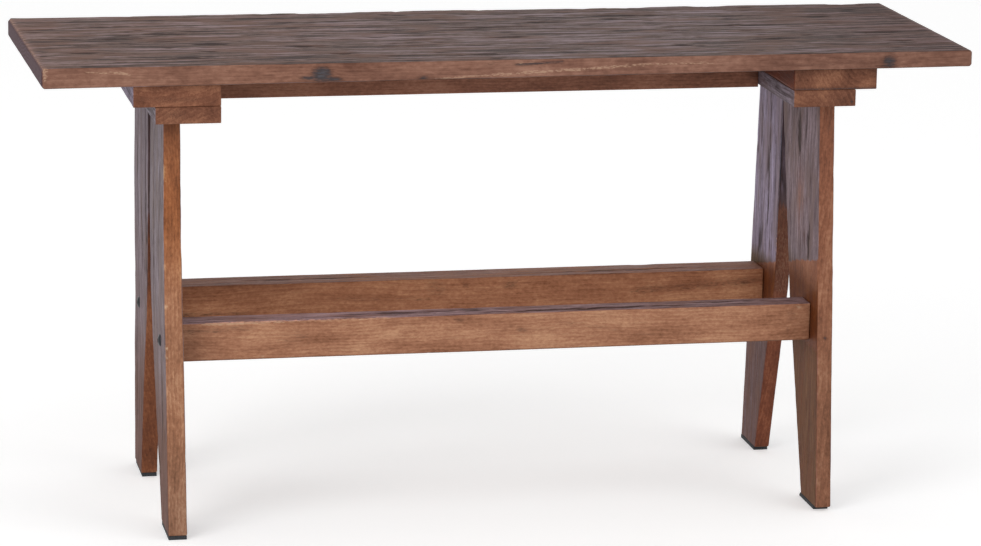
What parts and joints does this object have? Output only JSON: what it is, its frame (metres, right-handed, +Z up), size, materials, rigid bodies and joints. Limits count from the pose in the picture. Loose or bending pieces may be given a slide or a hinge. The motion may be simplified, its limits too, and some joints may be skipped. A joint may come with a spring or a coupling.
{
  "type": "backless trestle bench",
  "caption": "Low backless trestle bench in old boards, with notched plank legs, cross battens, a beam under the seat and square stretchers.",
  "frame": {"origin": "on the floor under the middle of the seat plank", "axes": "+X along the bench to the right as seen from its front, +Y from the front to the back, +Z up"},
  "size_m": [0.9029, 0.3, 0.46],
  "materials": {
    "weathered_plank": "old pine, greyed by weather, waxed",
    "stained_batten": "old pine with a worn red-brown stain",
    "stained_beam": "old pine with a worn red-brown stain",
    "weathered_leg": "old pine, grey faces and red-brown edges",
    "stained_stretcher": "old pine with a worn red-brown stain",
    "black_rubber": "matt",
    "blackened_steel": "satin black oxide",
    "zinc_steel": "zinc plated",
    "beech_dowel": "plain beech"
  },
  "bodies": {
    "root": {"seat_board": "weathered_plank", "upper_batten_left": "stained_batten", "upper_batten_right": "stained_batten", "lower_batten_left": "stained_batten", "lower_batten_right": "stained_batten", "under_beam": "stained_beam", "leg_front_left": "weathered_leg", "leg_back_left": "weathered_leg", "leg_front_right": "weathered_leg", "leg_back_right": "weathered_leg", "stretcher_front": "stained_stretcher", "stretcher_back": "stained_stretcher", "foot_pad_front_left": "black_rubber", "foot_pad_back_left": "black_rubber", "foot_pad_front_right": "black_rubber", "foot_pad_back_right": "black_rubber", "stretcher_bolts": "blackened_steel", "barrel_nuts": "zinc_steel", "leg_screws": "zinc_steel", "seat_screws": "zinc_steel", "pad_nails": "zinc_steel", "beam_dowels": "beech_dowel"}
  },
  "joints": []
}
